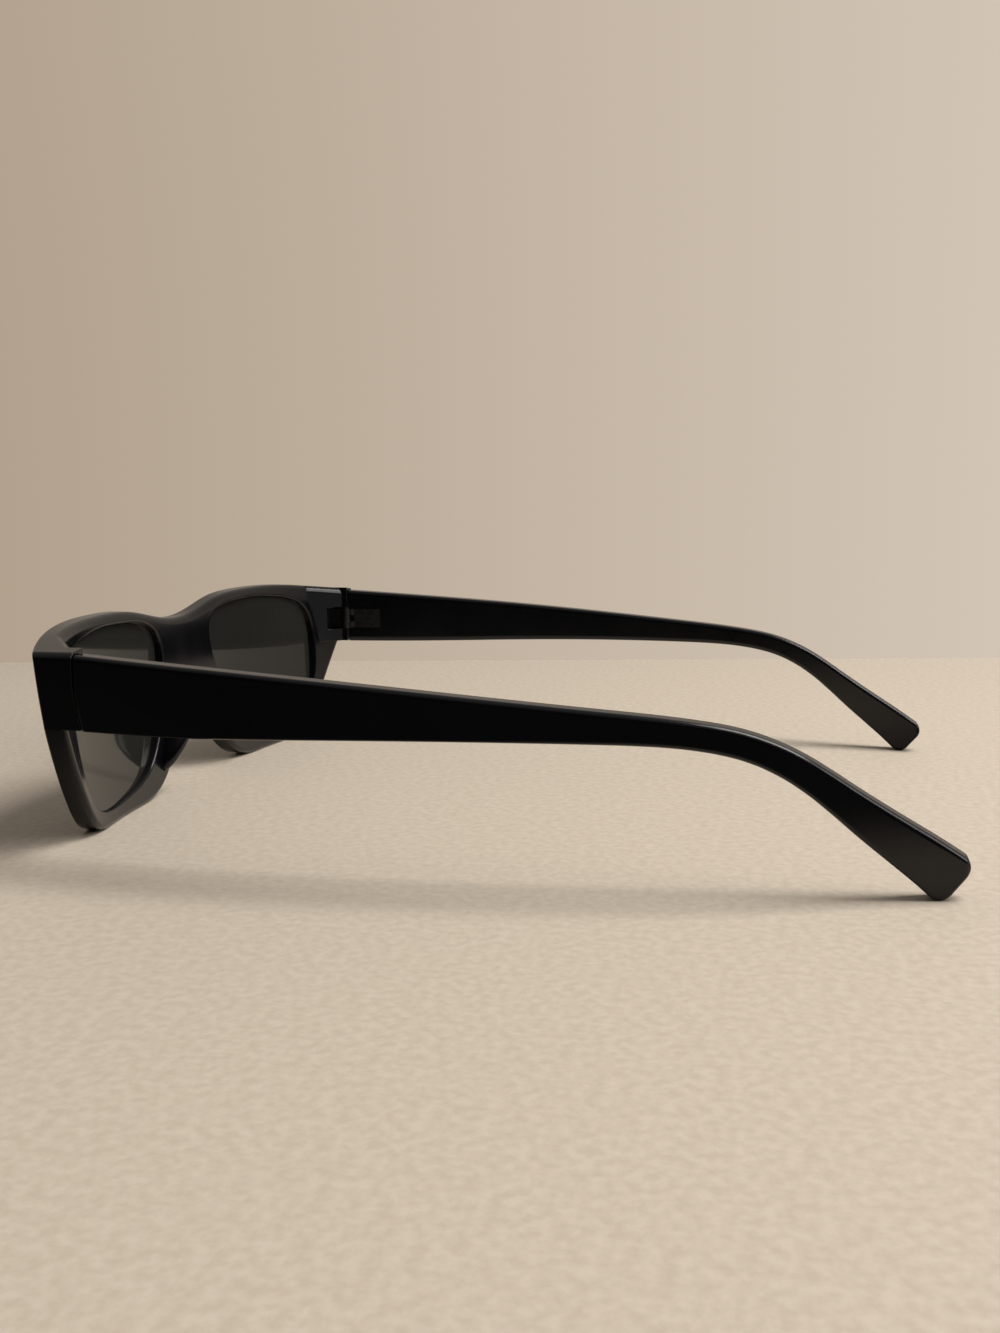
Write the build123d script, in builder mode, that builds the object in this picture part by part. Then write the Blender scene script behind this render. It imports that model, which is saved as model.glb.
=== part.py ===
# Narrow rectangle sunglasses: a one-piece acetate front, two dark lenses, two bonded
# nose pads, and two acetate temples that fold on three-barrel hinges with slotted screws.
# Frame: +X is the wearer's left, the lenses face -Y, +Z is up. The glasses stand on their
# rims and temple tips, open, with the origin under the middle of their bounding box.
from build123d import *
import math
import os

os.makedirs("parts", exist_ok=True)

# Overall sizes, in millimetres and degrees
front_width = 138.0         # across the two end pieces
front_height = 37.1         # floor to the highest point of the brow
front_depth = 17.8          # foremost point of the brow to the hinge seam
face_lead = 0.37            # the front's face, carried up to full height, ahead of that point
temple_reach = 138.4        # hinge seam to the end of the temple tip
front_thickness = 4.2
front_tilt = 6.2            # the brow stands further forward than the foot of the rims
front_wrap = 10.9           # how far the ends of the front sweep back
square_wrap_share = 0.27    # part of that sweep that is square, the rest is fourth power
cut_overrun = 2.0           # how far a cutting shape runs past what it cuts
front_edge_radius = 0.4     # broken edges of the front face and of the openings
back_edge_radius = 0.8      # broken edges of the back face, below the end pieces
brow_edge_radius = 1.5      # rounded edge along the back of the brow

# Front outline, half of it, from the brow round to the bridge
bridge_top = 33.6
brow_shoulder_x = 20.0
brow_shoulder = 36.4
brow_peak_x = 37.0
brow_end_x = 56.0
brow_end = 36.1
brow_end_angle = 7.0
end_piece_top = 34.6
end_piece_bottom = 21.6
end_corner_radius = 1.4
end_upright_bottom = 31.0   # the outer end is upright down to here, then leans in
crease_inset = 2.3          # outer end to the rim's side, at the end piece's lower crease
crease_angle = 17.0         # lean of the end piece there
rim_side_angle = 31.0       # lean of the rim's side, just below the crease
rim_side_inset = 7.3
rim_side_height = 14.0
rim_corner_inset = 12.8
rim_corner_height = 6.2
rim_foot_outer_x = 45.0     # the flat that the glasses stand on
rim_foot_inner_x = 28.0
rim_foot_corner_x = 17.2
rim_foot_corner_height = 2.6
nose_flank_x = 9.6
nose_flank_height = 10.6
bridge_arch_x = 5.6
bridge_arch_height = 18.4
bridge_bottom = 21.4

# Lenses and their openings
lens_nasal_x = 11.6
lens_temporal_x = 58.0
lens_bottom = 3.0
lens_top = 35.0
lens_thickness = 2.0
lens_base_radius = 165.0    # hollow back surface of the lens
lens_recess = 1.7           # back of the rim to the back of the lens, at its middle
lens_groove_depth = 0.7
lens_clearance = 0.05
# Opening outline, as shares of its width from the nasal side and of its height
opening_shares = (
    (0.0, 0.80),
    (0.04, 0.91),
    (0.14, 0.97),
    (0.32, 0.995),
    (0.52, 1.0),
    (0.72, 0.975),
    (0.88, 0.93),
    (0.96, 0.86),
    (0.995, 0.74),
    (1.0, 0.58),
    (0.98, 0.38),
    (0.92, 0.18),
    (0.83, 0.05),
    (0.69, 0.0),
    (0.50, 0.01),
    (0.34, 0.05),
    (0.22, 0.13),
    (0.13, 0.27),
    (0.06, 0.44),
    (0.02, 0.62),
)

# End pieces and seam
end_blend = 6.2             # seam to the section where an end piece leaves the slab
end_block_width = 11.0      # hinge wall to where the back of the front starts to thicken
end_block_gap = 1.5         # seam to the thickened back at the hinge wall
hinge_notch_width = 4.0     # notch in it, beside the hinge leaf
hinge_notch_gap = 0.3       # and above and below the leaf
seam_gap = 0.3

# Temples
temple_half_width = 69.0     # outer face of a temple at the seam, flush with the end piece
temple_thickness = 4.0
temple_top = 34.2
temple_splay_share = 0.115  # slope of the outer face at the seam
temple_bow = 24.8           # how far the bow brings the tip back in
temple_edge_radius = 0.8
heel_length = 14.0           # over this the temple's lower front corner leans in
tip_width = 7.8
tip_corner_radius = 2.2     # the tip's end is square to it, with two round corners
tip_top_angle = 35.0
tip_bottom_angle = 44.0
top_edge_angle = 3.8
# Temple edges, as shares of the reach and of the temple's top at the seam
top_edge_shares = (
    (0.0, 1.0),
    (0.326, 0.911),
    (0.616, 0.812),
    (0.717, 0.769),
    (0.768, 0.727),
    (0.826, 0.628),
    (0.884, 0.476),
)
bottom_edge_shares = (
    (0.884, 0.272),
    (0.826, 0.472),
    (0.768, 0.599),
    (0.717, 0.646),
    (0.616, 0.668),
    (0.326, 0.655),
    (0.0, 0.628),
)
face_tolerance = 0.03       # how close to the curved face an edge counts as on it
outline_stations = 40       # points that an opening's outline is drawn through
bow_station_shares = (0.0, 0.25, 0.5, 0.75, 1.0, 1.05)

# Core wires, flat steel strips shot into the temples
core_wire_height = 1.8
core_wire_thickness = 1.0
core_wire_clearance = 0.03
core_wire_start = 0.6       # seam to the front end of the wire
# Middle of the wire, as shares of the reach and of the temple's top
core_wire_shares = (
    (0.0, 0.814),
    (0.326, 0.783),
    (0.616, 0.740),
    (0.717, 0.708),
    (0.768, 0.663),
    (0.826, 0.550),
    (0.884, 0.374),
)

# Hinges
hinge_middle_z = 27.3
knuckle_height = 1.5
knuckle_gap = 0.06
barrel_radius = 1.2
barrel_wall_gap = 0.15      # barrel to the acetate beside it
leaf_thickness = 1.0
leaf_sink = 0.45            # how deep a leaf is sunk in the acetate
leaf_fit = 0.03
front_leaf_start = 1.5      # hinge line to the flat of the leaf
front_leaf_length = 2.7
temple_leaf_start = 1.8
temple_leaf_length = 6.6
front_anchor_first = 1.35   # start of the flat to its anchors
front_anchor_rise = 1.2     # middle of the hinge to an anchor, up and down
temple_anchor_first = 1.6
temple_anchor_pitch = 3.4
anchor_radius = 0.5
anchor_length = 0.8

# Hinge screws
screw_radius = 0.55
screw_head_radius = 0.95
screw_head_height = 0.5
screw_slot_width = 0.3
screw_slot_depth = 0.25
screw_thread_fit = 0.02
screw_running_fit = 0.05

# Nose pads
pad_half_thickness = 2.2
pad_reach = 4.9             # back face of the rim to the crest of the pad
pad_half_height = 8.0
pad_middle_x = 13.4
pad_middle_z = 10.4
pad_splay = 24.0            # seen from above
pad_lean = 34.0             # seen from the front
pad_bond = 0.02             # film of glue between pad and rim

# Places that follow from the sizes above
half_width = front_width / 2
seam_y = (front_depth - temple_reach) / 2
tilt_slope = math.tan(math.radians(front_tilt))
wall_x = temple_half_width - temple_thickness
hinge_x = wall_x - barrel_wall_gap - barrel_radius
hinge_height = 3 * knuckle_height + 2 * knuckle_gap
hinge_bottom_z = hinge_middle_z - hinge_height / 2
leaf_pitch = knuckle_height + knuckle_gap


def wrap_y(x, z):
    """Place of the front face at height z, swept back towards the ends and tilted."""
    share = square_wrap_share * (x / half_width) ** 2
    share += (1 - square_wrap_share) * (x / half_width) ** 4
    return seam_y - front_depth - face_lead + front_wrap * share + (front_height - z) * tilt_slope


def temple_x(y):
    """Outer face of the left temple, y behind the seam."""
    return temple_half_width + temple_splay_share * y - temple_bow * (y / temple_reach) ** 2


# Lens opening, on the wearer's left, seen from the front
opening_curve = Spline(
    [
        (
            lens_nasal_x + across * (lens_temporal_x - lens_nasal_x),
            lens_bottom + up * (lens_top - lens_bottom),
        )
        for across, up in opening_shares
    ],
    periodic=True,
)


def opening_outline(growth):
    """Closed outline of the left opening, moved outwards by growth."""
    points = []
    for i in range(outline_stations):
        at = opening_curve @ (i / outline_stations)
        along = opening_curve % (i / outline_stations)
        points.append((at.X - growth * along.Y, at.Y + growth * along.X))
    return points


# The hollow side of a lens is part of a ball, square to the front at the lens's middle
lens_middle_x = (lens_nasal_x + lens_temporal_x) / 2
lens_middle_z = (lens_bottom + lens_top) / 2
lens_chord = Vector(
    lens_temporal_x - lens_nasal_x,
    wrap_y(lens_temporal_x, lens_middle_z) - wrap_y(lens_nasal_x, lens_middle_z),
    0,
)
lens_normal = lens_chord.cross(Vector(0, -tilt_slope, 1)).normalized()
lens_back = Vector(lens_middle_x, wrap_y(lens_middle_x, lens_middle_z), lens_middle_z)
lens_back += Vector(0, front_thickness - lens_recess, 0)
ball_centre = lens_back - lens_normal * lens_base_radius


def lens_body(spare):
    """The left lens, grown by spare all round: with none it is the lens, else its groove."""
    with BuildPart() as body:
        with BuildSketch(Plane.XZ.offset(-seam_y)):
            with BuildLine():
                Spline(opening_outline(lens_groove_depth + spare), periodic=True)
            make_face()
        extrude(amount=front_depth + cut_overrun)
        with Locations(ball_centre):
            Sphere(lens_base_radius + lens_thickness + spare, mode=Mode.INTERSECT)
            Sphere(lens_base_radius - spare, mode=Mode.SUBTRACT)
    return body.part


def wrapped_slab(front_gap, back_gap):
    """Solid between two copies of the front's curved and tilted face."""
    stations = [half_width * i / 6 for i in range(-7, 8)]
    with BuildPart() as body:
        with BuildSketch():
            with BuildLine():
                front_line = Spline([(x, wrap_y(x, 0) + front_gap) for x in stations])
                back_line = Spline([(x, wrap_y(x, 0) + back_gap) for x in stations])
                Line(front_line @ 0, back_line @ 0)
                Line(front_line @ 1, back_line @ 1)
            make_face()
        extrude(amount=2 * front_height, dir=(0, -tilt_slope, 1))
    return body.part


def on_face(edge, gap):
    """Whether an edge runs along the front's curved face, or gap behind it."""
    places = (edge @ 0, edge @ 0.25, edge @ 0.5, edge @ 0.75, edge @ 1)
    return all(abs(at.Y - wrap_y(at.X, at.Z) - gap) < face_tolerance for at in places)


def plan_point(anchor, along, out):
    """Point of a hinge leaf seen from above: along the acetate face and out into it."""
    origin, direction = anchor
    normal = Vector(abs(direction.Y), -math.copysign(direction.X, direction.Y), 0)
    return origin + direction * along + normal * out


def hinge_leaf(anchor, start, length, levels, holes, hole_radius, spare):
    """A left hinge leaf: a sunk flat, its anchors, and a neck and barrel at each level."""
    inner = leaf_sink - leaf_thickness
    with BuildPart() as body:
        with BuildSketch(Plane.XY.offset(hinge_bottom_z - spare)):
            with BuildLine():
                Polyline(
                    plan_point(anchor, start - spare, inner - spare),
                    plan_point(anchor, start + length + spare, inner - spare),
                    plan_point(anchor, start + length + spare, leaf_sink + spare),
                    plan_point(anchor, start - spare, leaf_sink + spare),
                    close=True,
                )
            make_face()
        extrude(amount=hinge_height + 2 * spare)
        for along, rise in holes:
            foot = plan_point(anchor, start + along, 0)
            normal = (plan_point(anchor, 0, 1) - anchor[0]).normalized()
            with BuildSketch(Plane(origin=foot + Vector(0, 0, hinge_middle_z + rise), z_dir=normal)):
                Circle(anchor_radius + spare)
            extrude(amount=leaf_sink + anchor_length + spare)
        if spare == 0:
            for level in levels:
                with BuildSketch(Plane.XY.offset(hinge_bottom_z + level * leaf_pitch)):
                    with BuildLine():
                        Polyline(
                            (hinge_x, seam_y),
                            (hinge_x + barrel_radius, seam_y),
                            plan_point(anchor, start, 0),
                            plan_point(anchor, start, inner),
                            close=True,
                        )
                    make_face()
                    with Locations((hinge_x, seam_y)):
                        Circle(barrel_radius)
                extrude(amount=knuckle_height)
            with BuildSketch(Plane.XY.offset(hinge_bottom_z - cut_overrun)):
                with Locations((hinge_x, seam_y)):
                    Circle(hole_radius)
            extrude(amount=hinge_height + 2 * cut_overrun, mode=Mode.SUBTRACT)
    return body.part


# Faces that the hinge leaves are sunk in, by origin and direction away from the seam
slant = Vector(temple_splay_share, 1, 0).normalized()
front_anchor = (Vector(wall_x, seam_y, 0), Vector(0, -1, 0))
temple_anchor = (Vector(wall_x, seam_y, 0), slant)
front_holes = ((front_anchor_first, -front_anchor_rise), (front_anchor_first, front_anchor_rise))
temple_holes = ((temple_anchor_first, 0), (temple_anchor_first + temple_anchor_pitch, 0))
front_hole_radius = screw_radius + screw_running_fit
temple_hole_radius = screw_radius + screw_thread_fit
front_pocket = hinge_leaf(
    front_anchor, front_leaf_start, front_leaf_length, (), front_holes, front_hole_radius, leaf_fit
)
temple_pocket = hinge_leaf(
    temple_anchor, temple_leaf_start, temple_leaf_length, (), temple_holes, temple_hole_radius, leaf_fit
)
lens_groove = lens_body(lens_clearance)

# Front outline, half of it, mirrored about the nose
with BuildSketch(Plane.XZ) as front_sketch:
    with BuildLine():
        brow = Spline(
            (0, bridge_top),
            (brow_shoulder_x, brow_shoulder),
            (brow_peak_x, front_height),
            tangents=((1, 0), (1, 0)),
        )
        brow_fall = Spline(
            brow @ 1,
            (brow_end_x, brow_end),
            (half_width - end_corner_radius, end_piece_top),
            tangents=(
                (1, 0),
                (math.cos(math.radians(brow_end_angle)), -math.sin(math.radians(brow_end_angle))),
            ),
        )
        corner = RadiusArc(
            brow_fall @ 1,
            (half_width, end_piece_top - end_corner_radius),
            end_corner_radius,
        )
        upright = Line(corner @ 1, (half_width, end_upright_bottom))
        end_side = Spline(
            upright @ 1,
            (half_width - crease_inset, end_piece_bottom),
            tangents=(
                (0, -1),
                (-math.sin(math.radians(crease_angle)), -math.cos(math.radians(crease_angle))),
            ),
        )
        side = Spline(
            end_side @ 1,
            (half_width - rim_side_inset, rim_side_height),
            (half_width - rim_corner_inset, rim_corner_height),
            (rim_foot_outer_x, 0),
            tangents=(
                (-math.sin(math.radians(rim_side_angle)), -math.cos(math.radians(rim_side_angle))),
                (-1, 0),
            ),
        )
        foot = Line(side @ 1, (rim_foot_inner_x, 0))
        flank = Spline(
            foot @ 1,
            (rim_foot_corner_x, rim_foot_corner_height),
            (nose_flank_x, nose_flank_height),
            (bridge_arch_x, bridge_arch_height),
            (0, bridge_bottom),
            tangents=((-1, 0), (-1, 0)),
        )
        Line(flank @ 1, brow @ 0)
    make_face()
    mirror(about=Plane.YZ)

# End pieces, and the thickened back of the front beside each hinge, seen from above
block_start_x = wall_x - end_block_width
block_inside_x = wall_x + temple_thickness / 2
block_middle_z = (end_piece_bottom + front_height) / 2
block_corners = (
    (block_start_x, wrap_y(block_start_x, block_middle_z) + front_thickness / 2),
    (wall_x, seam_y - end_block_gap),
    (wall_x, seam_y - seam_gap / 2),
    (half_width + cut_overrun, seam_y - seam_gap / 2),
    (half_width + cut_overrun, seam_y - end_blend),
    (block_inside_x, wrap_y(block_inside_x, block_middle_z) + front_thickness / 2),
)
# Notch for the hinge's front leaf, open towards the nose and the seam
notch_length = front_leaf_start + front_leaf_length + leaf_fit
notch_height = hinge_height + 2 * hinge_notch_gap


def back_edge(edge, low, high):
    """Whether an edge of the back face is a long one, with its middle between two heights."""
    if not on_face(edge, front_thickness) or edge.length < 2 * end_blend:
        return False
    return low < (edge @ 0.5).Z < high


def block_edge(edge):
    """Whether an edge is the upper one of a thickened back."""
    middle = edge @ 0.5
    beside = block_start_x < abs(middle.X) < wall_x - face_tolerance
    behind = middle.Y > wrap_y(middle.X, middle.Z) + front_thickness + face_tolerance
    return beside and behind and middle.Z > end_piece_top


# Front, with its end pieces, openings, grooves and hinge pockets
with BuildPart() as front_frame:
    add(wrapped_slab(0, front_thickness))
    with BuildSketch(Plane.XY.offset(end_piece_bottom)):
        with BuildLine():
            Polyline(*block_corners, close=True)
        make_face()
        mirror(about=Plane.YZ)
    extrude(amount=front_height)
    extrude(
        front_sketch.sketch.moved(Location((0, seam_y + cut_overrun, 0))),
        amount=front_depth + 3 * cut_overrun,
        mode=Mode.INTERSECT,
    )
    fillet(front_frame.edges().filter_by(lambda edge: on_face(edge, 0)), front_edge_radius)
    brow_edges = front_frame.edges().filter_by(lambda edge: back_edge(edge, end_piece_bottom, front_height))
    brow_edges += front_frame.edges().filter_by(block_edge)
    fillet(brow_edges, brow_edge_radius)
    foot_edges = front_frame.edges().filter_by(lambda edge: back_edge(edge, -cut_overrun, end_piece_bottom))
    fillet(foot_edges.sort_by(Axis.Z)[0], back_edge_radius)
    with BuildSketch(Plane.XZ.offset(-seam_y - cut_overrun)):
        with BuildLine():
            Spline(opening_outline(0), periodic=True)
        make_face()
        mirror(about=Plane.YZ)
    extrude(amount=front_depth + 3 * cut_overrun, mode=Mode.SUBTRACT)
    opening_edges = front_frame.edges().filter_by(
        lambda edge: abs(edge.length - opening_curve.length) < cut_overrun
    )
    fillet(opening_edges, front_edge_radius)
    with BuildSketch(Plane.XY.offset(hinge_middle_z - notch_height / 2)):
        with Locations((wall_x - hinge_notch_width / 2, seam_y - notch_length / 2)):
            Rectangle(hinge_notch_width, notch_length)
        mirror(about=Plane.YZ)
    extrude(amount=notch_height, mode=Mode.SUBTRACT)
    for cut in (lens_groove, front_pocket):
        add(cut, mode=Mode.SUBTRACT)
        mirror(cut, about=Plane.YZ, mode=Mode.SUBTRACT)
front_frame.part.label = "front_frame"
export_step(front_frame.part, "parts/front_frame.step")

# Lenses, dark and hollow towards the wearer
with BuildPart() as left_lens:
    add(lens_body(0))
left_lens.part.label = "left_lens"
export_step(left_lens.part, "parts/left_lens.step")

with BuildPart() as right_lens:
    mirror(left_lens.part, about=Plane.YZ)
right_lens.part.label = "right_lens"
export_step(right_lens.part, "parts/right_lens.step")

# Nose pads, lobes glued to the back of the rims beside the bridge
pad_foot = Vector(pad_middle_x, wrap_y(pad_middle_x, pad_middle_z) + front_thickness, pad_middle_z)
pad_turn = Location(pad_foot) * Location((0, 0, 0), (0, 0, -pad_splay)) * Location((0, 0, 0), (0, -pad_lean, 0))
pad_lobe = scale(
    Solid.make_sphere(pad_reach),
    by=(pad_half_thickness / pad_reach, 1, pad_half_height / pad_reach),
)
with BuildPart() as left_nose_pad:
    add(pad_lobe.moved(pad_turn))
    add(wrapped_slab(front_thickness + pad_bond, front_depth), mode=Mode.INTERSECT)
left_nose_pad.part.label = "left_nose_pad"
export_step(left_nose_pad.part, "parts/left_nose_pad.step")

with BuildPart() as right_nose_pad:
    mirror(left_nose_pad.part, about=Plane.YZ)
right_nose_pad.part.label = "right_nose_pad"
export_step(right_nose_pad.part, "parts/right_nose_pad.step")

# Temples, cut to their side shape and bowed in plan
temple_side = Plane(origin=(0, seam_y, 0), x_dir=(0, 1, 0), z_dir=(1, 0, 0))
stations = [share * temple_reach for share in bow_station_shares]
top_angle = math.radians(tip_top_angle)
bottom_angle = math.radians(tip_bottom_angle)
end_angle = (top_angle + bottom_angle) / 2
end_length = tip_width - 2 * tip_corner_radius
end_out = Vector(math.cos(end_angle), -math.sin(end_angle)) * tip_corner_radius
upper_middle = Vector(temple_reach - tip_corner_radius, tip_corner_radius + end_length * math.cos(end_angle))
lower_middle = Vector(upper_middle.X - end_length * math.sin(end_angle), tip_corner_radius)
top_end = upper_middle + Vector(math.sin(top_angle), math.cos(top_angle)) * tip_corner_radius
bottom_end = lower_middle - Vector(math.sin(bottom_angle), math.cos(bottom_angle)) * tip_corner_radius


def bowed_strip(outer_inset, inner_inset):
    """Upright strip that follows the temple's bow, between two insets from its outer face."""
    with BuildPart() as body:
        with BuildSketch(Plane.XY.offset(-cut_overrun)):
            with BuildLine():
                outer = Spline([(temple_x(y) - outer_inset, seam_y + y) for y in stations])
                inner = Spline([(temple_x(y) - inner_inset, seam_y + y) for y in stations])
                Line(outer @ 0, inner @ 0)
                Line(outer @ 1, inner @ 1)
            make_face()
        extrude(amount=front_height + 2 * cut_overrun)
    return body.part


def wire_body(spare, start):
    """The left core wire, grown by spare all round; its slot in the temple is open in front."""
    middle = [(along * temple_reach, up * temple_top) for along, up in core_wire_shares]
    half = core_wire_height / 2 + spare
    inset = (temple_thickness - core_wire_thickness) / 2 - spare
    with BuildPart() as body:
        with BuildSketch(temple_side):
            with BuildLine():
                upper = Spline([(y, z + half) for y, z in middle])
                lower = Spline([(y, z - half) for y, z in middle])
                Line(upper @ 0, lower @ 0)
                Line(upper @ 1, lower @ 1)
            make_face()
        extrude(amount=front_width)
        add(bowed_strip(inset, temple_thickness - inset), mode=Mode.INTERSECT)
        split(bisect_by=Plane(origin=(0, seam_y + start, 0), z_dir=(0, 1, 0)), keep=Keep.TOP)
    return body.part


# What is cut off a temple's lower front corner, so that it meets the leaning end piece
with BuildPart() as heel_cut:
    with BuildSketch(Plane.XZ.offset(-seam_y)):
        with BuildLine():
            heel = Spline(end_side @ 0, end_side @ 1, tangents=(end_side % 0, end_side % 1))
            Polyline(
                heel @ 1,
                heel @ 1 - Vector(0, cut_overrun),
                (temple_half_width + cut_overrun, end_piece_bottom - cut_overrun),
                (temple_half_width + cut_overrun, end_upright_bottom),
                heel @ 0,
            )
        make_face()
    extrude(amount=2 * heel_length, dir=(crease_inset, heel_length, 0))

with BuildPart() as left_temple:
    with BuildSketch(temple_side):
        with BuildLine():
            top_edge = Spline(
                [(along * temple_reach, up * temple_top) for along, up in top_edge_shares] + [top_end],
                tangents=(
                    (math.cos(math.radians(top_edge_angle)), -math.sin(math.radians(top_edge_angle))),
                    (math.cos(top_angle), -math.sin(top_angle)),
                ),
            )
            ThreePointArc(top_end, (temple_reach, upper_middle.Y), upper_middle + end_out)
            Line(upper_middle + end_out, lower_middle + end_out)
            ThreePointArc(lower_middle + end_out, (lower_middle.X, 0), bottom_end)
            bottom_edge = Spline(
                [bottom_end] + [(along * temple_reach, up * temple_top) for along, up in bottom_edge_shares],
                tangents=((-math.cos(bottom_angle), math.sin(bottom_angle)), (-1, 0)),
            )
            Line(bottom_edge @ 1, top_edge @ 0)
        make_face()
    extrude(amount=front_width)
    add(bowed_strip(0, temple_thickness), mode=Mode.INTERSECT)
    fillet(left_temple.edges().filter_by(lambda edge: edge.length > temple_reach / 2), temple_edge_radius)
    split(bisect_by=Plane(origin=(0, seam_y + seam_gap / 2, 0), z_dir=(0, 1, 0)), keep=Keep.TOP)
    add(heel_cut.part, mode=Mode.SUBTRACT)
    add(wire_body(core_wire_clearance, 0), mode=Mode.SUBTRACT)
    add(temple_pocket, mode=Mode.SUBTRACT)
left_temple.part.label = "left_temple"
export_step(left_temple.part, "parts/left_temple.step")

with BuildPart() as right_temple:
    mirror(left_temple.part, about=Plane.YZ)
right_temple.part.label = "right_temple"
export_step(right_temple.part, "parts/right_temple.step")

# Core wires
with BuildPart() as left_core_wire:
    add(wire_body(0, core_wire_start))
    split(
        bisect_by=Plane(
            origin=(0, seam_y + core_wire_shares[-1][0] * temple_reach - core_wire_clearance, 0),
            z_dir=(0, 1, 0),
        ),
        keep=Keep.BOTTOM,
    )
left_core_wire.part.label = "left_core_wire"
export_step(left_core_wire.part, "parts/left_core_wire.step")

with BuildPart() as right_core_wire:
    mirror(left_core_wire.part, about=Plane.YZ)
right_core_wire.part.label = "right_core_wire"
export_step(right_core_wire.part, "parts/right_core_wire.step")

# Hinge leaves: the front leaf has the middle barrel, the temple leaf the upper and lower
with BuildPart() as left_front_hinge_leaf:
    add(
        hinge_leaf(
            front_anchor, front_leaf_start, front_leaf_length, (1,), front_holes, front_hole_radius, 0
        )
    )
left_front_hinge_leaf.part.label = "left_front_hinge_leaf"
export_step(left_front_hinge_leaf.part, "parts/left_front_hinge_leaf.step")

with BuildPart() as right_front_hinge_leaf:
    mirror(left_front_hinge_leaf.part, about=Plane.YZ)
right_front_hinge_leaf.part.label = "right_front_hinge_leaf"
export_step(right_front_hinge_leaf.part, "parts/right_front_hinge_leaf.step")

with BuildPart() as left_temple_hinge_leaf:
    add(
        hinge_leaf(
            temple_anchor, temple_leaf_start, temple_leaf_length, (0, 2), temple_holes, temple_hole_radius, 0
        )
    )
left_temple_hinge_leaf.part.label = "left_temple_hinge_leaf"
export_step(left_temple_hinge_leaf.part, "parts/left_temple_hinge_leaf.step")

with BuildPart() as right_temple_hinge_leaf:
    mirror(left_temple_hinge_leaf.part, about=Plane.YZ)
right_temple_hinge_leaf.part.label = "right_temple_hinge_leaf"
export_step(right_temple_hinge_leaf.part, "parts/right_temple_hinge_leaf.step")

# Hinge screws, slotted, with the head on the upper barrel
with BuildPart() as left_hinge_screw:
    with BuildSketch(Plane.XY.offset(hinge_bottom_z)):
        with Locations((hinge_x, seam_y)):
            Circle(screw_radius)
    extrude(amount=hinge_height)
    with BuildSketch(Plane.XY.offset(hinge_bottom_z + hinge_height)):
        with Locations((hinge_x, seam_y)):
            Circle(screw_head_radius)
    extrude(amount=screw_head_height)
    with BuildSketch(Plane.XY.offset(hinge_bottom_z + hinge_height + screw_head_height)):
        with Locations((hinge_x, seam_y)):
            Rectangle(screw_slot_width, 2 * screw_head_radius + cut_overrun)
    extrude(amount=-screw_slot_depth, mode=Mode.SUBTRACT)
left_hinge_screw.part.label = "left_hinge_screw"
export_step(left_hinge_screw.part, "parts/left_hinge_screw.step")

with BuildPart() as right_hinge_screw:
    mirror(left_hinge_screw.part, about=Plane.YZ)
right_hinge_screw.part.label = "right_hinge_screw"
export_step(right_hinge_screw.part, "parts/right_hinge_screw.step")
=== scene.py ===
# %% [markdown]
# A pair of narrow rectangle sunglasses stands open on a pale table, seen from the side and a
# little from behind, over the near temple. The solids come from CAD as a fixed frame. This
# file dresses them: polished acetate, tinted lenses, gunmetal hinges, light, table, camera.
# Everything is in metres: +X is the wearer's left, -Y is where the wearer looks, +Z is up.

# %% Load the fixed frame
import math

import bpy
from mathutils import Matrix, Vector
from mathutils.bvhtree import BVHTree


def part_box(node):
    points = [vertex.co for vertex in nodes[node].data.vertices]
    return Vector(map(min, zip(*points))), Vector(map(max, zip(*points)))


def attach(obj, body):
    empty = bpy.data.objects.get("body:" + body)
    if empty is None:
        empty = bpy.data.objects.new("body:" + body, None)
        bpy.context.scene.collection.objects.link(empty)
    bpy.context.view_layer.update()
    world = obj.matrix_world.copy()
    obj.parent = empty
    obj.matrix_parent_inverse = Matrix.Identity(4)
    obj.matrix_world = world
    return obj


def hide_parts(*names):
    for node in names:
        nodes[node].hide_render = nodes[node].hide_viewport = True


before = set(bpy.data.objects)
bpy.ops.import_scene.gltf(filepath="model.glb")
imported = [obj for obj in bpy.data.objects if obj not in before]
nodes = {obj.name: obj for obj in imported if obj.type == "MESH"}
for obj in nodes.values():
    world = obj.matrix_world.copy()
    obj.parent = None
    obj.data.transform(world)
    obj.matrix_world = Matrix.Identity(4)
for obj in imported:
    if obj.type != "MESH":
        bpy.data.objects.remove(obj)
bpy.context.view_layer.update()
MM = 0.001

# %% [markdown]
# A photograph fixes a camera: where it stands, where it looks and how strongly it zooms.
# It could be placed by eye, but the temples and the front are long, clear cues, so the
# place was solved from them. It stands off the wearer's left ear, a little above the
# glasses, and looks mostly along -X. The lens is worked out from the picture's long side.

# %% The camera's place and its three directions
CAMERA_PLACE = Vector((270.56, 55.78, 61.63)) * MM
CAMERA_YAW = math.radians(12.90)
CAMERA_PITCH = math.radians(7.56)
CAMERA_ROLL = math.radians(-0.27)

look = Vector(
    (
        -math.cos(CAMERA_PITCH) * math.cos(CAMERA_YAW),
        -math.cos(CAMERA_PITCH) * math.sin(CAMERA_YAW),
        -math.sin(CAMERA_PITCH),
    )
)
level = look.cross(Vector((0, 0, 1))).normalized()
upright = level.cross(look)
side = level * math.cos(CAMERA_ROLL) + upright * math.sin(CAMERA_ROLL)
rise = upright * math.cos(CAMERA_ROLL) - level * math.sin(CAMERA_ROLL)
print("camera looks along:", [round(v, 3) for v in look])

# %% Make the camera
FOCAL_PIXELS = 1409.9
PICTURE_HEIGHT = 1333
SENSOR = 36.0

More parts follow.
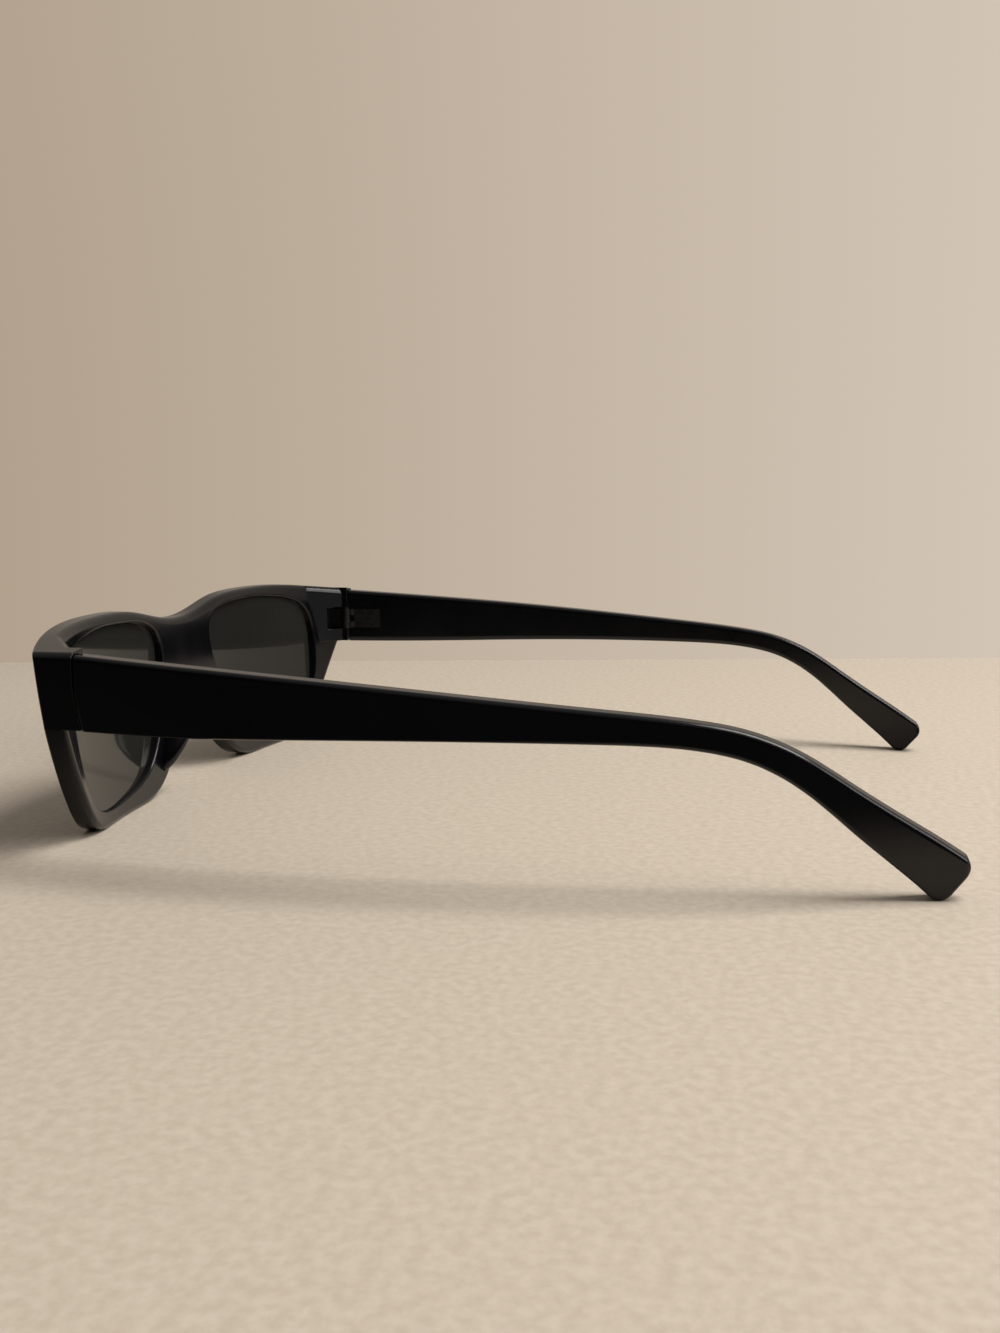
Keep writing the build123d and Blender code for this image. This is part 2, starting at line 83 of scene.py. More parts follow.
camera_data = bpy.data.cameras.new("camera")
camera_data.sensor_width = SENSOR
camera_data.lens = FOCAL_PIXELS * SENSOR / PICTURE_HEIGHT
camera_data.clip_start = 5 * MM
camera = bpy.data.objects.new("camera", camera_data)
bpy.context.scene.collection.objects.link(camera)
turned_to_look = Matrix((side, rise, -look)).transposed().to_4x4()
camera.matrix_world = Matrix.Translation(CAMERA_PLACE) @ turned_to_look
bpy.context.scene.camera = camera
print("lens in mm:", round(camera_data.lens, 2))

# %% [markdown]
# The finishes, the temple rule and the room are all node trees. Writing each link by hand
# is slow to read, so one helper makes a node and sets or links its inputs in one line. The
# Mix node has several sockets of one name, so those for colour are told by their numbers.

# %% Node tree helper
MIX_INPUTS = (0, 6, 7)
MIX_OUTPUT = 2


class NodeTree:
    """A node tree with short ways to add nodes; a value is a number or another socket."""

    def __init__(self, tree):
        self.tree = tree

    def feed(self, socket, value):
        if isinstance(value, bpy.types.NodeSocket):
            self.tree.links.new(value, socket)
        else:
            socket.default_value = value

    def put(self, kind, **inputs):
        node = self.tree.nodes.new(kind)
        for name, value in inputs.items():
            self.feed(node.inputs[name.replace("_", " ")], value)
        return node

    def operate(self, kind, operation, values):
        node = self.put(kind)
        node.operation = operation
        for socket, value in zip(node.inputs, values):
            self.feed(socket, value)
        return node.outputs

    def math(self, operation, *values):
        return self.operate("ShaderNodeMath", operation, values)["Value"]

    def mix(self, factor, first, second):
        node = self.put("ShaderNodeMix")
        node.data_type = "RGBA"
        for index, value in zip(MIX_INPUTS, (factor, first, second)):
            self.feed(node.inputs[index], value)
        return node.outputs[MIX_OUTPUT]

    def fade(self, value, start, end, most=1.0):
        """0 up to start, growing to most at end."""
        faded = self.put("ShaderNodeMapRange", Value=value, From_Min=start, From_Max=end, To_Max=most)
        return faded.outputs["Result"]

    def spread(self, value, least, most):
        """Spreads a value from 0 to 1 between least and most."""
        return self.put("ShaderNodeMapRange", Value=value, To_Min=least, To_Max=most).outputs["Result"]


# %% [markdown]
# A finish is such a tree round a Principled shader. Its patterns read Object coordinates,
# which are metres on the real object, so a scale of 1000 is a pattern of about 1 mm.


# %% Finish helper
class Finish(NodeTree):
    """A node material on a Principled shader."""

    def __init__(self, name):
        self.material = bpy.data.materials.new(name)
        self.material.use_nodes = True
        super().__init__(self.material.node_tree)
        self.shader = self.tree.nodes["Principled BSDF"]
        self.place = self.put("ShaderNodeTexCoord").outputs["Object"]

    def surface(self, **inputs):
        for name, value in inputs.items():
            self.feed(self.shader.inputs[name.replace("_", " ")], value)

    def noise(self, place, scale, detail):
        return self.put("ShaderNodeTexNoise", Vector=place, Scale=scale, Detail=detail).outputs["Fac"]

    def stretched(self, scales):
        return self.put("ShaderNodeMapping", Vector=self.place, Scale=scales).outputs["Vector"]

    def ramp(self, factor, stops):
        node = self.put("ShaderNodeValToRGB", Fac=factor)
        for element, (place, colour) in zip(node.color_ramp.elements, stops):
            element.position = place
            element.color = (*colour, 1)
        return node.outputs["Color"]


# %% [markdown]
# The frame is cut from black acetate sheet and tumbled to a gloss. Worn acetate is never
# quite even: it has a faint cloud and patches that are a touch duller. A flat black with
# low roughness looks like wet paint, so slow noise drives the colour and the gloss.

# %% Acetate: cloud and gloss
ACETATE_BLACKS = [(0.3, (0.0020, 0.0023, 0.0034)), (0.7, (0.0032, 0.0036, 0.0050))]
ACETATE_ROUGHNESS = (0.10, 0.22)

acetate = Finish("polished_acetate")
clouded = acetate.ramp(acetate.noise(acetate.place, scale=70.0, detail=3.0), ACETATE_BLACKS)
patches = acetate.noise(acetate.place, scale=160.0, detail=5.0)
dullness = acetate.spread(patches, *ACETATE_ROUGHNESS)
acetate.surface(IOR=1.49, Specular_IOR_Level=0.42)
print("acetate roughness from", ACETATE_ROUGHNESS[0], "to", ACETATE_ROUGHNESS[1])

# %% [markdown]
# Handling rubs the edges a little grey and matt. Edges could be painted by hand, but a
# Bevel node finds them: it bends the normal near an edge, so where the bent and the true
# normal differ, there is an edge. Hair-fine scratches run along the temples, from noise
# that is stretched along Y.

# %% Acetate: rubbed edges and hair scratches
EDGE_REACH = 0.35 * MM
EDGE_SOFT, EDGE_SHARP = 0.995, 0.86
RUBBED_BLACK = (0.018, 0.0175, 0.0175, 1)
RUBBED_DULLING = 0.10
SCRATCH_DEPTH = 0.02 * MM

true_normal = acetate.put("ShaderNodeNewGeometry").outputs["Normal"]
bent_normal = acetate.put("ShaderNodeBevel", Radius=EDGE_REACH).outputs["Normal"]
likeness = acetate.operate("ShaderNodeVectorMath", "DOT_PRODUCT", (true_normal, bent_normal))["Value"]
rubbed = acetate.fade(likeness, EDGE_SOFT, EDGE_SHARP)
hairs = acetate.noise(acetate.stretched((900.0, 60.0, 900.0)), scale=2.0, detail=2.0)
scratched = acetate.put(
    "ShaderNodeBump", Height=hairs, Normal=bent_normal, Strength=0.05, Distance=SCRATCH_DEPTH
)
acetate.surface(
    Base_Color=acetate.mix(rubbed, clouded, RUBBED_BLACK),
    Roughness=acetate.math("MULTIPLY_ADD", rubbed, RUBBED_DULLING, dullness),
    Normal=scratched.outputs["Normal"],
)
print("acetate nodes:", len(acetate.tree.nodes))

# %% [markdown]
# The lenses are dark grey-green with a polished face. What shows most is the reflection on
# their hollow backs. Clear glass would cost many samples and look too bright, so the shader
# is solid dark with an even gloss, and faint smears from wiping.

# %% Lens
LENS_TINTS = [(0.3, (0.0170, 0.0172, 0.0155)), (0.7, (0.0205, 0.0206, 0.0184))]
LENS_ROUGHNESS = (0.02, 0.06)

tinted = Finish("tinted_lens")
tint = tinted.noise(tinted.place, scale=25.0, detail=1.0)
smears = tinted.noise(tinted.place, scale=90.0, detail=4.0)
tinted.surface(
    Base_Color=tinted.ramp(tint, LENS_TINTS),
    Roughness=tinted.spread(smears, *LENS_ROUGHNESS),
    IOR=1.53,
    Specular_IOR_Level=0.30,
)
print("lens roughness from", LENS_ROUGHNESS[0], "to", LENS_ROUGHNESS[1])

# %% [markdown]
# The leaves and screws are gunmetal plated: dark, satin, with the fine grain of rolled
# strip. The core wire is plain drawn steel. Two separate recipes would say the same thing
# twice, so one loop makes both, and stretched noise gives each its grain.

# %% Gunmetal and core steel
METALS = {
    "gunmetal": dict(grain=(4000.0, 600.0, 4000.0), dark=0.030, light=0.060, rough=(0.28, 0.45)),
    "core_steel": dict(grain=(3000.0, 80.0, 3000.0), dark=0.42, light=0.56, rough=(0.30, 0.40)),
}
metals = {}
for name, recipe in METALS.items():
    metal = Finish(name)
    grain = metal.noise(metal.stretched(recipe["grain"]), scale=1.0, detail=3.0)
    dark, light = recipe["dark"], recipe["light"]
    bluish_greys = [(0.3, (dark, dark, dark * 1.06)), (0.7, (light, light, light * 1.05))]
    metal.surface(
        Metallic=1.0,
        Base_Color=metal.ramp(grain, bluish_greys),
        Roughness=metal.spread(grain, *recipe["rough"]),
    )
    metals[name] = metal
print("metals:", sorted(metals))

# %% [markdown]
# Front, lenses, pads, hinges and wires keep the CAD's own shape and only get a finish.
# Listing all fifteen names would work, but left and right pieces end alike, so the ending
# of a node's name picks its finish. The longest ending that fits wins.

# %% Give each CAD node its finish
FINISHES = {
    "front_frame": acetate,
    "nose_pad": acetate,
    "temple": acetate,
    "lens": tinted,
    "core_wire": metals["core_steel"],
    "hinge_leaf": metals["gunmetal"],
    "hinge_screw": metals["gunmetal"],
}
for name, node in nodes.items():
    ending = max((key for key in FINISHES if name.endswith(key)), key=len)
    node.data.materials.clear()
    node.data.materials.append(FINISHES[ending].material)
print("nodes dressed:", len(nodes))

# %% [markdown]
# A temple is sawn from sheet to a side shape, bent in plan, and tumbled round its edges.
# That is a rule: at each place along it there is a top, a bottom and a bow. So a Geometry
# Nodes tree makes it: a tube of rings along +Y, whose ring points are then moved to the
# rounded section at their place. The rule could be a loop in the script too, but the tree
# keeps its sizes as named inputs. First come its sizes. The seam is where the temple meets
# the end piece, and all places along the temple are measured from there.

# %% The temple's sizes
SEAM_GAP = 0.15 * MM
HALF_WIDTH = 69.0 * MM
THICKNESS = 4.0 * MM
SPLAY = 0.115
BOW = 24.8 * MM

temple_low, temple_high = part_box("left_temple")
SEAM = temple_low.y - SEAM_GAP
REACH = temple_high.y - SEAM
TEMPLE_TOP = temple_high.z
TEMPLE_SIZES = {
    "Side": 1.0,
    "Seam": SEAM,
    "Gap": SEAM_GAP,
    "Reach": REACH,
    "Half Width": HALF_WIDTH,
    "Thickness": THICKNESS,
    "Top": TEMPLE_TOP,
    "Splay": SPLAY,
    "Bow": BOW,
    "Edge Radius": 0.8 * MM,
    "End Round": 0.25 * MM,
    "Tip Width": 7.8 * MM,
    "Tip Corner": 2.2 * MM,
    "Lean": 2.3 * MM,
    "Lean Top": 31.0 * MM,
    "Lean Height": 9.4 * MM,
    "Lean Length": 14.0 * MM,
}
print("temple reach and top in mm:", round(REACH / MM, 2), round(TEMPLE_TOP / MM, 2))

# %% [markdown]
# The top and the bottom edge run almost straight, then bend down behind the ear. Their
# heights could be typed in, but the CAD temple has them already. So a ray is cast on it
# from above or below, at places given in mm behind the seam, close together only where the
# edges bend. Each ray meets the edge between its rounded sides. The tip's corners come later.

# %% Measure the CAD temple's top and bottom edges
PLACES = [1, 14, 28, 42, 56, 70, 84, 90, 95, 99, 103, 106, 110, 114, 118, 122, 127, 130]
TOP_PLACES = [*PLACES, 134, 137.4]
BOTTOM_PLACES = [*PLACES, 132.4]
RAY_INSET = 2.8 * MM
RAY_START = 100 * MM

temple_mesh = nodes["left_temple"].data
temple_faces = [tuple(face.vertices) for face in temple_mesh.polygons]
temple_skin = BVHTree.FromPolygons([vertex.co for vertex in temple_mesh.vertices], temple_faces)


def edge_point(place, upward):
    """A point of the top (upward 1) or bottom edge (-1), as shares of the reach and the top."""
    share = place * MM / REACH
    inside = HALF_WIDTH + SPLAY * place * MM - BOW * share**2 - RAY_INSET
    start = Vector((inside, SEAM + place * MM, upward * RAY_START))
    met = temple_skin.ray_cast(start, Vector((0, 0, -upward)))[0]
    return share, met.z / TEMPLE_TOP


top_edge = [edge_point(place, 1) for place in TOP_PLACES]
bottom_edge = [edge_point(place, -1) for place in BOTTOM_PLACES]
for edge_name, points in (("top", top_edge), ("bottom", bottom_edge)):
    print(edge_name, "edge in mm:", [round(height * TEMPLE_TOP / MM, 2) for _, height in points])

# %% [markdown]
# The tree needs its own helper, because it also has named inputs. The modifier finds an
# input by its identifier, not by its name, so the helper keeps the identifiers. A Float
# Curve node draws a smooth line through the measured points of an edge.


# %% Helper for the temple tree
class Rule(NodeTree):
    """A Geometry Nodes tree with named sizes, a count of rings and a finish as inputs."""

    def __init__(self, name, sizes, rings):
        super().__init__(bpy.data.node_groups.new(name, "GeometryNodeTree"))
        self.identifiers = {}
        for size_name, size in sizes.items():
            self.new_input(size_name, "NodeSocketFloat").default_value = size
        self.new_input("Rings", "NodeSocketInt").default_value = rings
        self.new_input("Finish", "NodeSocketMaterial")
        self.tree.interface.new_socket(name="Geometry", in_out="OUTPUT", socket_type="NodeSocketGeometry")
        self.entry = self.tree.nodes.new("NodeGroupInput")

    def new_input(self, name, kind):
        socket = self.tree.interface.new_socket(name=name, in_out="INPUT", socket_type=kind)
        self.identifiers[name] = socket.identifier
        return socket

    def get(self, name):
        return self.entry.outputs[name]

    def curve(self, value, points):
        node = self.put("ShaderNodeFloatCurve", Value=value)
        line = node.mapping.curves[0]
        while len(line.points) < len(points):
            line.points.new(0.5, 0.5)
        for point, place in zip(line.points, points):
            point.location = place
        node.mapping.update()
        return node.outputs["Value"]


rule = Rule("temple_rule", TEMPLE_SIZES, rings=260)
print("inputs of the temple rule:", len(rule.identifiers))

# %% [markdown]
# The tube starts as a line of length 1, with a ring of points at each even step. The rings
# are then crowded towards both ends, where the small rounded edges are. Each ring point
# knows where it sits round the ring: a circle pushed out to a square gives it a share across
# and a share up, both from -1 to 1.

# %% Temple tree: the tube of rings
RING_POINTS = 160
CROWDING = 0.9

path = rule.put("GeometryNodeCurvePrimitiveLine", Start=(0, 0, 0), End=(0, 1, 0))
stations = rule.put("GeometryNodeResampleCurve", Curve=path.outputs["Curve"], Count=rule.get("Rings"))
circle = rule.put("GeometryNodeCurvePrimitiveCircle", Resolution=RING_POINTS).outputs["Curve"]
half_step = (0, 0, math.pi / RING_POINTS)
ring = rule.put("GeometryNodeTransform", Geometry=circle, Rotation=half_step).outputs["Geometry"]
tube = rule.put(
    "GeometryNodeCurveToMesh", Curve=stations.outputs["Curve"], Profile_Curve=ring, Fill_Caps=True
)
at = rule.put("ShaderNodeSeparateXYZ", Vector=rule.put("GeometryNodeInputPosition").outputs["Position"])
longer = rule.math(
    "MAXIMUM", rule.math("ABSOLUTE", at.outputs["X"]), rule.math("ABSOLUTE", at.outputs["Z"])
)
across = rule.math("DIVIDE", at.outputs["X"], longer)
up = rule.math("DIVIDE", at.outputs["Z"], longer)
wave = rule.math("SINE", rule.math("MULTIPLY", at.outputs["Y"], 2 * math.pi))
crowded = rule.math("SUBTRACT", at.outputs["Y"], rule.math("MULTIPLY", wave, CROWDING / (2 * math.pi)))
free = rule.math("SUBTRACT", rule.get("Reach"), rule.get("Gap"))
y = rule.math("MULTIPLY_ADD", crowded, free, rule.get("Gap"))
share = rule.math("DIVIDE", y, rule.get("Reach"))
print("points in a ring:", RING_POINTS)

# %% [markdown]
# The tip ends square to its own direction, with two round corners. Each corner is an arc
# with its middle one radius inside the outline, and a short straight end joins them. The two
# angles say where the arcs leave the top and the bottom edge.

# %% Temple tree: middles of the tip's two round corners
TOP_ANGLE = math.radians(35)
BOTTOM_ANGLE = math.radians(44)
END_ANGLE = (TOP_ANGLE + BOTTOM_ANGLE) / 2

corner_size = rule.get("Tip Corner")
end_length = rule.math("SUBTRACT", rule.get("Tip Width"), rule.math("MULTIPLY", corner_size, 2.0))
upper_y = rule.math("SUBTRACT", rule.get("Reach"), corner_size)
upper_z = rule.math("MULTIPLY_ADD", end_length, math.cos(END_ANGLE), corner_size)
lower_y = rule.math("MULTIPLY_ADD", end_length, -math.sin(END_ANGLE), upper_y)
end_y = rule.math("MULTIPLY_ADD", corner_size, math.cos(END_ANGLE), lower_y)
end_z = rule.math("MULTIPLY_ADD", corner_size, -math.sin(END_ANGLE), corner_size)
end_line = rule.math("MULTIPLY_ADD", rule.math("SUBTRACT", y, end_y), 1 / math.tan(END_ANGLE), end_z)
print("the tip's end leans by degrees:", round(math.degrees(END_ANGLE), 1))


# %% [markdown]
# A tree has no if, so a comparison gives 1 or 0, and that picks one of two heights. Going
# along the temple, the bottom is the measured edge, then the lower corner, the end line and
# the upper corner's underside. The top is the measured edge, then the upper corner.


# %% Temple tree: top and bottom at each place
def corner_rise(middle_y):
    """Height of a round corner above or below its middle, at this place along the temple."""
    past = rule.math("SUBTRACT", y, middle_y)
    radius_squared = rule.math("MULTIPLY", corner_size, corner_size)
    square = rule.math("SUBTRACT", radius_squared, rule.math("MULTIPLY", past, past))
    return rule.math("SQRT", rule.math("MAXIMUM", square, 0.0))


def beyond(middle_y, share_of_corner):
    """1 where y lies past a place on a corner, given as a share of its radius."""
    return rule.math("GREATER_THAN", y, rule.math("MULTIPLY_ADD", corner_size, share_of_corner, middle_y))


def either(chosen, yes, no):
    return rule.math("MULTIPLY_ADD", chosen, rule.math("SUBTRACT", yes, no), no)


upper_rise, lower_rise = corner_rise(upper_y), corner_rise(lower_y)
top = rule.math("MULTIPLY", rule.curve(share, top_edge), rule.get("Top"))
top = either(beyond(upper_y, math.sin(TOP_ANGLE)), rule.math("ADD", upper_z, upper_rise), top)
low = rule.math("MULTIPLY", rule.curve(share, bottom_edge), rule.get("Top"))
low = either(beyond(lower_y, -math.sin(BOTTOM_ANGLE)), rule.math("SUBTRACT", corner_size, lower_rise), low)
low = either(beyond(lower_y, math.cos(END_ANGLE)), end_line, low)
low = either(beyond(upper_y, math.cos(END_ANGLE)), rule.math("SUBTRACT", upper_z, upper_rise), low)
half_height = rule.math("MULTIPLY", rule.math("SUBTRACT", top, low), 0.5)
middle = rule.math("MULTIPLY", rule.math("ADD", top, low), 0.5)
print("nodes in the temple rule so far:", len(rule.tree.nodes))


# %% [markdown]
# Tumbling rounds the long edges, and draws the faces in a little at both ends. A ring point
# on the square section is split in two: the part that stays a corner radius inside, and the
# rest, which is turned onto a circle of that radius.


# %% Temple tree: the rounded section
def drawn_in(distance, radius):
    """How far a round edge draws a face in, at a distance from the end."""
    left = rule.math("MAXIMUM", rule.math("SUBTRACT", radius, distance), 0.0)
    radius_squared = rule.math("MULTIPLY", radius, radius)
    square = rule.math("SUBTRACT", radius_squared, rule.math("MULTIPLY", left, left))
    return rule.math("SUBTRACT", radius, rule.math("SQRT", rule.math("MAXIMUM", square, 0.0)))


def held_back(value, half):
    """A place on the square section, kept one corner radius inside, and what is left of it."""
    full = rule.math("MULTIPLY", value, half)
    limit = rule.math("SUBTRACT", half, corner)
    inside = rule.math("MAXIMUM", rule.math("MINIMUM", full, limit), rule.math("MULTIPLY", limit, -1.0))
    return inside, rule.math("SUBTRACT", full, inside)


edge = rule.get("Edge Radius")
front_in = drawn_in(rule.math("SUBTRACT", y, rule.get("Gap")), rule.get("End Round"))
tip_in = drawn_in(rule.math("SUBTRACT", rule.get("Reach"), y), edge)
half_thick = rule.math("MULTIPLY", rule.get("Thickness"), 0.5)
half_wide = rule.math("SUBTRACT", rule.math("SUBTRACT", half_thick, front_in), tip_in)
half_tall = rule.math("MAXIMUM", rule.math("SUBTRACT", half_height, front_in), 0.0)
corner = rule.math("MINIMUM", rule.math("MINIMUM", edge, half_tall), half_wide)
flat_x, rest_x = held_back(across, half_wide)
flat_z, rest_z = held_back(up, half_tall)
rest = rule.put("ShaderNodeCombineXYZ", X=rest_x, Z=rest_z).outputs["Vector"]
unit = rule.operate("ShaderNodeVectorMath", "NORMALIZE", [rest])["Vector"]
round_x, _, round_z = rule.put("ShaderNodeSeparateXYZ", Vector=unit).outputs
section_x = rule.math("MULTIPLY_ADD", round_x, corner, flat_x)
section_z = rule.math("MULTIPLY_ADD", round_z, corner, flat_z)
print("nodes in the temple rule so far:", len(rule.tree.nodes))

# %% [markdown]
# In plan, the outer face leaves the seam at its splay, and the bow brings the tip back in.
# The lower front corner leans in to meet the end piece. With t as the depth below the top
# of the lean, in shares of its height, the lean grows as 1.5 t*t - 0.5 t*t*t, which starts
# softly, and it runs out towards the tip.

# %% Temple tree: the bow and the lean
z = rule.math("ADD", middle, section_z)
bow = rule.math("MULTIPLY", rule.get("Bow"), rule.math("MULTIPLY", share, share))
outer = rule.math("SUBTRACT", rule.math("MULTIPLY_ADD", y, rule.get("Splay"), rule.get("Half Width")), bow)
bowed_x = rule.math("ADD", rule.math("SUBTRACT", outer, half_thick), section_x)
below = rule.math("DIVIDE", rule.math("SUBTRACT", rule.get("Lean Top"), z), rule.get("Lean Height"))
below = rule.math("MAXIMUM", below, 0.0)
below_squared = rule.math("MULTIPLY", below, below)
eased = rule.math("MULTIPLY", below_squared, rule.math("MULTIPLY_ADD", below, -0.5, 1.5))
lean = rule.math("MULTIPLY", eased, rule.get("Lean"))
run_out = rule.math("MULTIPLY", y, rule.math("DIVIDE", rule.get("Lean"), rule.get("Lean Length")))
leaning_x = rule.math("ADD", rule.math("SUBTRACT", rule.get("Half Width"), lean), run_out)
x = rule.math("MULTIPLY", rule.math("MINIMUM", bowed_x, leaning_x), rule.get("Side"))
print("nodes in the temple rule so far:", len(rule.tree.nodes))

# %% [markdown]
# Last, the ring points move to their places, and the mesh gets its shading and finish. The
# tree ends in Realize Instances and Set Material, because the export drops instances.

# %% Temple tree: move the points and end the tree
place = rule.put("ShaderNodeCombineXYZ", X=x, Y=rule.math("ADD", y, rule.get("Seam")), Z=z)
moved = rule.put("GeometryNodeSetPosition", Geometry=tube.outputs["Mesh"], Position=place.outputs["Vector"])
smooth = rule.put("GeometryNodeSetShadeSmooth", Geometry=moved.outputs["Geometry"])
real = rule.put("GeometryNodeRealizeInstances", Geometry=smooth.outputs["Geometry"])
dressed = rule.put("GeometryNodeSetMaterial", Geometry=real.outputs["Geometry"], Material=rule.get("Finish"))
rule.put("NodeGroupOutput", Geometry=dressed.outputs["Geometry"])
print("nodes in the temple rule:", len(rule.tree.nodes))

# %% [markdown]
# The tree runs on an empty object, once for each side. A Mirror modifier could make the
# right temple, but each temple folds on its own, so each has to be a mesh of its own. The
# ends are single flat faces: they are shaded flat, and the front one shows whether the
# mirrored mesh came out inside out.

# %% Make both temples from the tree
RING_FACE_CORNERS = 4
for side_name, sign in (("left", 1.0), ("right", -1.0)):
    seed = bpy.data.objects.new("temple_seed", bpy.data.meshes.new("temple_seed"))
    bpy.context.scene.collection.objects.link(seed)
    modifier = seed.modifiers.new("temple_rule", "NODES")
    modifier.node_group = rule.tree
    modifier[rule.identifiers["Side"]] = sign
    modifier[rule.identifiers["Finish"]] = acetate.material
    evaluated = seed.evaluated_get(bpy.context.evaluated_depsgraph_get())
    mesh = bpy.data.meshes.new_from_object(evaluated)
    mesh.name = side_name + "_temple_acetate"
    bpy.data.objects.remove(seed)
    ends = [face for face in mesh.polygons if len(face.vertices) > RING_FACE_CORNERS]
    for face in ends:
        face.use_smooth = False
    front_end = min(ends, key=lambda face: face.center.y)
    if front_end.normal.y > 0:
        mesh.flip_normals()
    temple = bpy.data.objects.new(side_name + "_temple_acetate", mesh)
    bpy.context.scene.collection.objects.link(temple)
    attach(temple, side_name + "_arm")
    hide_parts(side_name + "_temple")
    spans = [[round(getattr(v.co, axis) / MM, 2) for v in mesh.vertices] for axis in "xyz"]
    print(temple.name, "faces", len(mesh.polygons), [(min(s), max(s)) for s in spans])

# %% [markdown]
# The photograph has a pale beige table and a wall of nearly the same tone. A flat colour
# would look like paper, so fine noise mottles the table between two beiges.

# %% Table finish
TABLE_TONES = [(0.35, (0.622, 0.538, 0.436)), (0.65, (0.706, 0.619, 0.513))]

table_finish = Finish("pale_table")
mottle = table_finish.noise(table_finish.place, scale=650.0, detail=6.0)
table_colour = table_finish.ramp(mottle, TABLE_TONES)
table_finish.surface(Roughness=0.6)
print("table tones:", TABLE_TONES)

# %% [markdown]
# Black gloss shows only what it reflects, and in the photograph the temples stay black above
# a pale table, as they would with dark things near them, out of view. Such things could be
# modelled, but they aren't part of the object. So beside and behind the glasses the table is
# near black for glossy rays alone, and the camera and the soft light see it pale. Each pair
# of places here is where that dark begins and where it is full.

# %% What the gloss sees of the table
HIDDEN_DARK = (0.02, 0.02, 0.02, 1)
BESIDE = (50 * MM, 78 * MM)
TOWARDS_TIP = (0, 50 * MM)
TIP_SHIFT = 34 * MM
BEHIND = (50 * MM, 90 * MM)
FROM_FAR_TEMPLE = (-140 * MM, -50 * MM)
FROM_NEAR_TEMPLE = (70 * MM, 40 * MM)

spot = table_finish.put("ShaderNodeSeparateXYZ", Vector=table_finish.place).outputs
is_glossy = table_finish.put("ShaderNodeLightPath").outputs["Is Glossy Ray"]
shift = table_finish.fade(spot["Y"], *TOWARDS_TIP, most=TIP_SHIFT)
beside = table_finish.fade(table_finish.math("SUBTRACT", spot["X"], shift), *BESIDE)
behind = table_finish.fade(spot["Y"], *BEHIND)
past_far_temple = table_finish.fade(spot["X"], *FROM_FAR_TEMPLE)
inside_near_temple = table_finish.fade(spot["X"], *FROM_NEAR_TEMPLE)
between = table_finish.math("MULTIPLY", past_far_temple, inside_near_temple)
behind_between = table_finish.math("MULTIPLY", behind, between)
dark_part = table_finish.math("MAXIMUM", beside, behind_between)
shaded = table_finish.math("MULTIPLY", dark_part, is_glossy)
table_finish.surface(Base_Color=table_finish.mix(shaded, table_colour, HIDDEN_DARK))
print("table finish nodes:", len(table_finish.tree.nodes))

# %% [markdown]
# The table itself is one flat face, because nothing of its thickness shows. It could run on
# for ever, but then no wall would show. So its far edge lies at the wall's foot, level in
# the camera's view.

# %% Table mesh
TABLE_HALF = 3.0
WALL_FOOT = 0.205

away = Vector((-math.cos(CAMERA_YAW), -math.sin(CAMERA_YAW), 0))
along = Vector((-away.y, away.x, 0))
table_mesh = bpy.data.meshes.new("table")
wall_side = [away * WALL_FOOT + along * spread for spread in (-TABLE_HALF, TABLE_HALF)]
camera_side = [along * spread - away * TABLE_HALF for spread in (TABLE_HALF, -TABLE_HALF)]
table_mesh.from_pydata(wall_side + camera_side, [], [(0, 1, 2, 3)])
if table_mesh.polygons[0].normal.z < 0:
    table_mesh.flip_normals()
table_mesh.materials.append(table_finish.material)
floor = bpy.data.objects.new("table", table_mesh)
bpy.context.scene.collection.objects.link(floor)
print("from the middle to the wall's foot in mm:", round(WALL_FOOT / MM))

# %% [markdown]
# The photograph's shadows are soft, so the light comes from two large areas: one high above
# and a little behind the glasses, and a weaker one lower and further behind, as from a
# window. A small lamp would draw hard shadows under the temples.

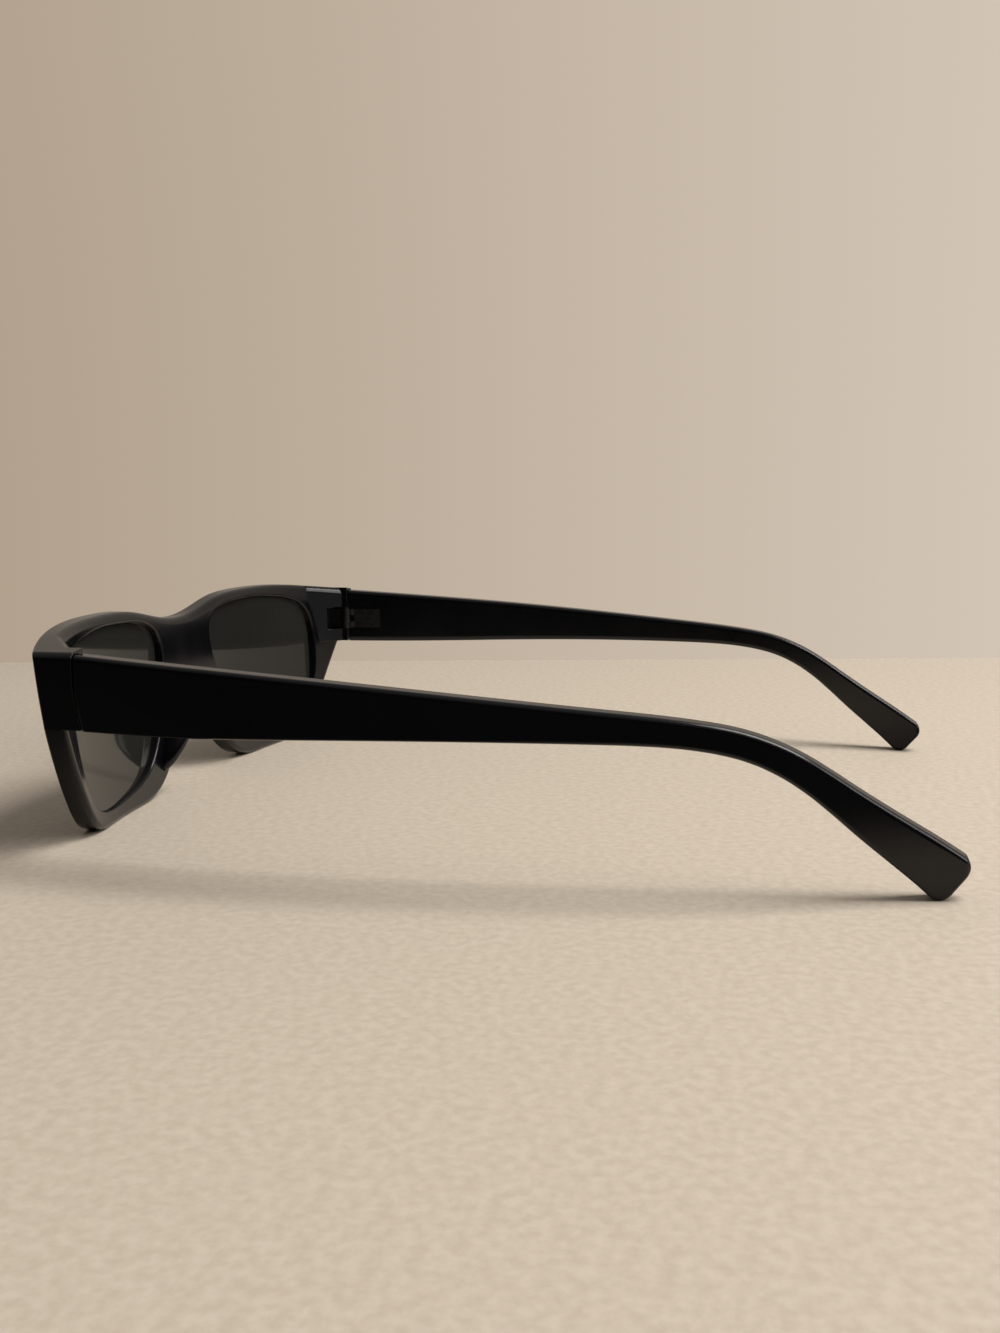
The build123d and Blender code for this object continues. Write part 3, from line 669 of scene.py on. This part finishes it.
# %% Lamps
LAMPS = {
    "overhead": dict(
        place=(-0.10, 0.42, 0.76), aim=(0, 0, 0), size=0.45, watts=6.0, colour=(1.0, 0.97, 0.93)
    ),
    "window": dict(
        place=(0.05, 0.9, 0.5), aim=(0, 0, 0.02), size=0.5, watts=3.0, colour=(1.0, 0.98, 0.96)
    ),
}
for name, lamp in LAMPS.items():
    lamp_data = bpy.data.lights.new(name, "AREA")
    lamp_data.size = lamp["size"]
    lamp_data.energy = lamp["watts"]
    lamp_data.color = lamp["colour"]
    lamp_object = bpy.data.objects.new(name, lamp_data)
    bpy.context.scene.collection.objects.link(lamp_object)
    lamp_place = Vector(lamp["place"])
    turned_to_aim = (Vector(lamp["aim"]) - lamp_place).to_track_quat("-Z", "Y").to_matrix().to_4x4()
    lamp_object.matrix_world = Matrix.Translation(lamp_place) @ turned_to_aim
    print(name, "lamp, metres from its aim:", round((Vector(lamp["aim"]) - lamp_place).length, 2))

# %% [markdown]
# Black gloss needs a room to reflect: the far walls and the ceiling are lit, and the near
# side, behind the camera, is dark. The camera looks past the table's end at a plain wall, a
# little brighter towards the window. A modelled wall would also throw light and shadow, so
# the world shows it to camera rays only. Each pair of heights or sides here says over which
# part of the view, from -1 to 1, one tone fades into the next.

# %% Room
FAR_WALL = (0.36, 0.31, 0.26, 1)
NEAR_SIDE = (0.006, 0.006, 0.008, 1)
CEILING = (0.27, 0.255, 0.24, 1)
DIM_BACKDROP = (0.42, 0.335, 0.250, 1)
BRIGHT_BACKDROP = (0.660, 0.565, 0.470, 1)
TO_NEAR_SIDE = (-0.25, 0.30)
TO_CEILING = (0.35, 0.85)
TO_WINDOW = (-0.60, 0.15)

world = bpy.data.worlds.new("room")
bpy.context.scene.world = world
world.use_nodes = True
room = NodeTree(world.node_tree)
way = room.put("ShaderNodeSeparateXYZ", Vector=room.put("ShaderNodeTexCoord").outputs["Generated"]).outputs
walls = room.mix(room.fade(way["X"], *TO_NEAR_SIDE), FAR_WALL, NEAR_SIDE)
lit_room = room.mix(room.fade(way["Z"], *TO_CEILING), walls, CEILING)
backdrop = room.mix(room.fade(way["Y"], *TO_WINDOW), DIM_BACKDROP, BRIGHT_BACKDROP)
is_camera = room.put("ShaderNodeLightPath").outputs["Is Camera Ray"]
background = room.tree.nodes["Background"]
room.feed(background.inputs["Color"], room.mix(is_camera, lit_room, backdrop))
background.inputs["Strength"].default_value = 1.0
bpy.context.scene.view_settings.view_transform = "Standard"
print("room nodes:", len(room.tree.nodes))
